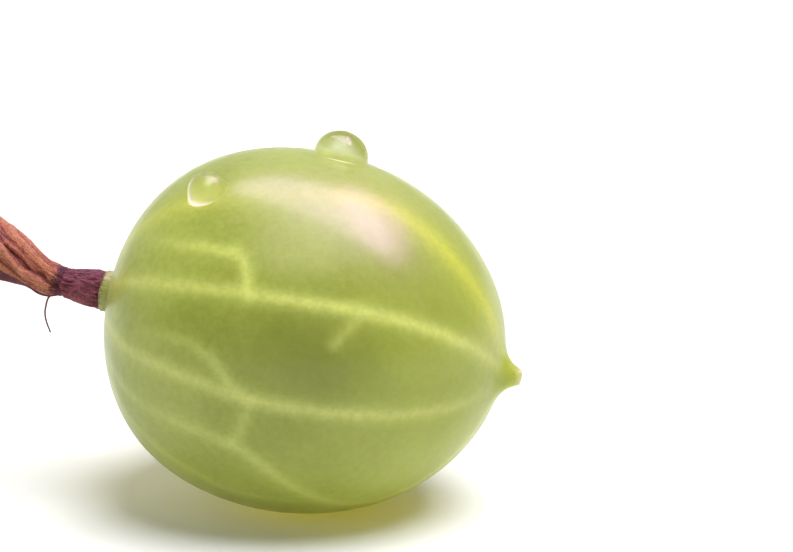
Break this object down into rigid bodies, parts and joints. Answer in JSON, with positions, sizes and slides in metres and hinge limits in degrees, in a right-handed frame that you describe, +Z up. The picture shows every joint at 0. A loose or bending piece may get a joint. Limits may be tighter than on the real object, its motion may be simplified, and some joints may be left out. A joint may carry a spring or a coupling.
{
  "type": "gooseberry",
  "caption": "Ripe green gooseberry lying on its side, with its dried flower on one end, the nub of its stalk on the other and water drops on its skin.",
  "frame": {"origin": "middle of the flat spot that the fruit rests on", "axes": "+Z up; +X towards the stalk end, -X towards the dried flower; the fruit's axis lies in the XZ plane, with the stalk end lower"},
  "size_m": [0.0326, 0.02, 0.0208],
  "materials": {
    "skin": "smooth, slightly translucent yellow-green fruit skin with paler veins and a soft gloss",
    "dried_tube": "dull, dried plant tissue, purple-brown, wrinkled lengthwise",
    "dried_sepal": "dull, dried plant tissue, orange-tan on the ridges and red-brown in the folds",
    "dried_thread": "dull, dried plant thread, reddish purple",
    "water": "clear water"
  },
  "bodies": {
    "root": {"berry": "skin", "floral_tube": "dried_tube", "sepal_1": "dried_sepal", "sepal_2": "dried_sepal", "sepal_3": "dried_sepal", "sepal_4": "dried_sepal", "sepal_5": "dried_sepal", "stamen_1": "dried_thread", "stamen_2": "dried_thread", "stamen_3": "dried_thread", "stamen_4": "dried_thread", "stamen_hanging": "dried_thread", "style": "dried_thread", "water_drop_large": "water", "water_drop_small": "water"}
  },
  "joints": []
}
